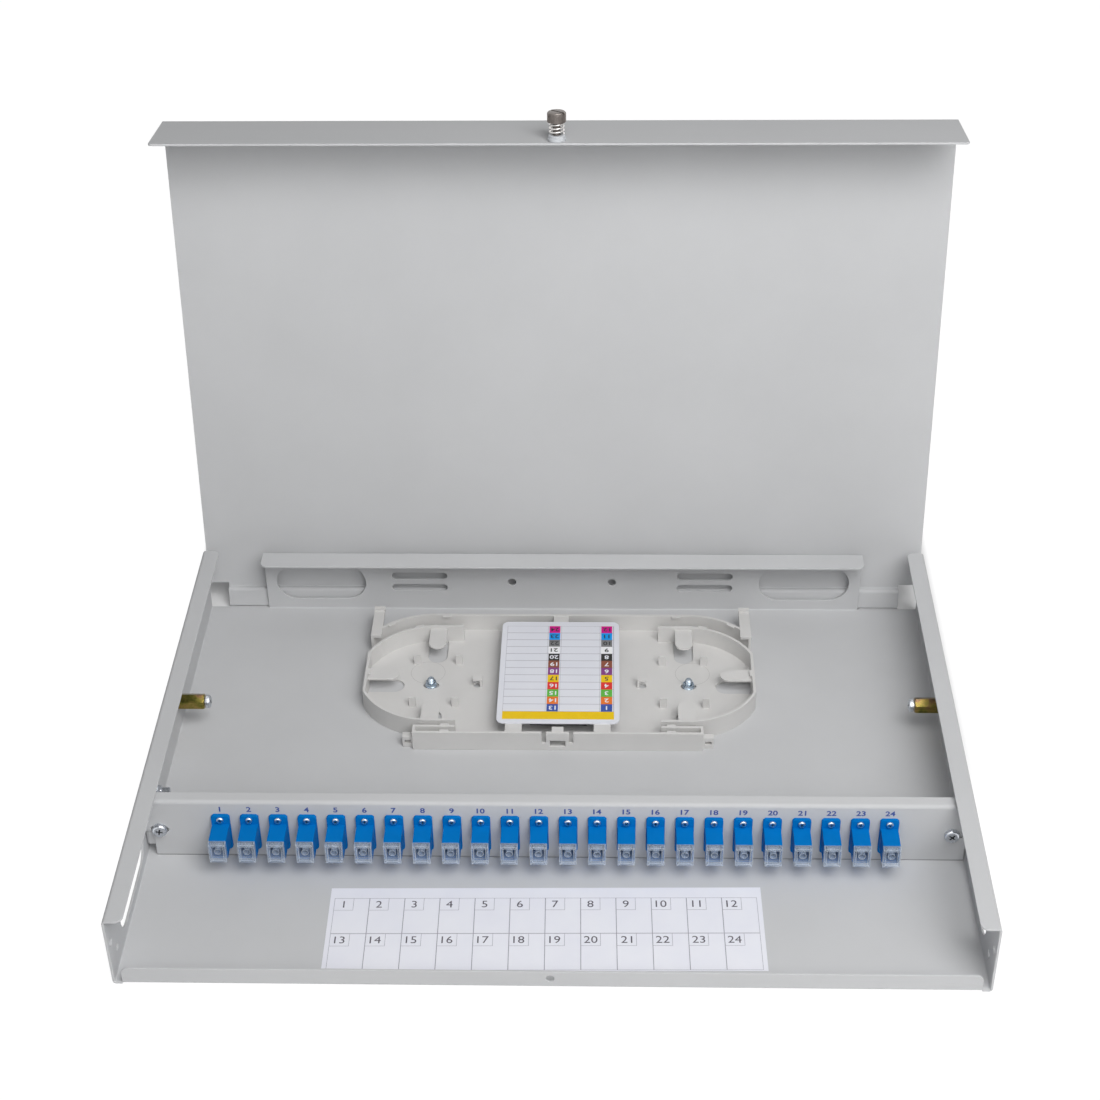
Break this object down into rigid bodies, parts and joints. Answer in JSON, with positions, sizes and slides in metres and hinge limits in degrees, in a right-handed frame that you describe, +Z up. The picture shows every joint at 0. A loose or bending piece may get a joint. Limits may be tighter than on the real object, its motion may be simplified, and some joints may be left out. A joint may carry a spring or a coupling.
{
  "type": "fibre patch panel",
  "caption": "Folded sheet tray with a row of fibre adapters, a moulded splice tray, an index label and a lift-off cover that stands parked upright behind the rear wall.",
  "frame": {"origin": "middle of the tray's underside", "axes": "+X to the right of someone facing the adapters, +Y to the rear, +Z up"},
  "size_m": [0.43, 0.3477, 0.3206],
  "materials": {
    "powder_coat": "fine matt powder coat",
    "adapter_plastic": "satin moulded",
    "clear_plastic": "clear, polished",
    "zinc": "blue passivated zinc",
    "yellow_zinc": "yellow passivated zinc",
    "label_paper": "matt",
    "splice_plastic": "fine moulded",
    "black_plastic": "soft matt",
    "card_plastic": "semi gloss",
    "pale_metal": "satin",
    "spring_steel": "bright drawn wire",
    "dark_nickel": "black nickel"
  },
  "bodies": {
    "tray": {"tray": "powder_coat", "adapter_plate": "powder_coat", "plate_angle_left": "powder_coat", "plate_angle_right": "powder_coat", "plate_screws": "zinc", "adapter_screws": "zinc", "standoff_screws": "zinc", "splice_studs": "zinc", "splice_nuts": "zinc", "earth_stud": "zinc", "earth_nut": "zinc", "wall_standoffs": "yellow_zinc", "front_dust_caps": "clear_plastic", "rear_dust_caps": "clear_plastic", "index_label": "label_paper", "splice_tray": "splice_plastic", "splice_holder": "black_plastic", "label_card": "card_plastic", "adapter_01": "adapter_plastic", "adapter_02": "adapter_plastic", "adapter_03": "adapter_plastic", "adapter_04": "adapter_plastic", "adapter_05": "adapter_plastic", "adapter_06": "adapter_plastic", "adapter_07": "adapter_plastic", "adapter_08": "adapter_plastic", "adapter_09": "adapter_plastic", "adapter_10": "adapter_plastic", "adapter_11": "adapter_plastic", "adapter_12": "adapter_plastic", "adapter_13": "adapter_plastic", "adapter_14": "adapter_plastic", "adapter_15": "adapter_plastic", "adapter_16": "adapter_plastic", "adapter_17": "adapter_plastic", "adapter_18": "adapter_plastic", "adapter_19": "adapter_plastic", "adapter_20": "adapter_plastic", "adapter_21": "adapter_plastic", "adapter_22": "adapter_plastic", "adapter_23": "adapter_plastic", "adapter_24": "adapter_plastic"},
    "cover": {"cover": "powder_coat", "screw_ferrule": "pale_metal", "screw_spring": "spring_steel"},
    "screw_carrier": {"retaining_ring": "spring_steel"},
    "thumb_screw": {"thumb_screw": "dark_nickel"}
  },
  "joints": [
    {"name": "cover_tilt", "type": "hinge", "parent": "tray", "child": "cover", "pos_m": [0, 0.15568, 0.0114], "axis": [1, 0, 0], "range_deg": [0, 9]},
    {"name": "screw_press", "type": "slide", "parent": "cover", "child": "screw_carrier", "axis": [0, -0.1305, -0.9914], "range_m": [0, 0.0028], "stiffness_N_per_m": 400, "springref_m": -0.002, "deforming": ["screw_spring"]},
    {"name": "screw_turn", "type": "hinge", "parent": "screw_carrier", "child": "thumb_screw", "pos_m": [0, 0.15848, 0.30464], "axis": [0, 0.1305, 0.9914], "continuous": true}
  ]
}
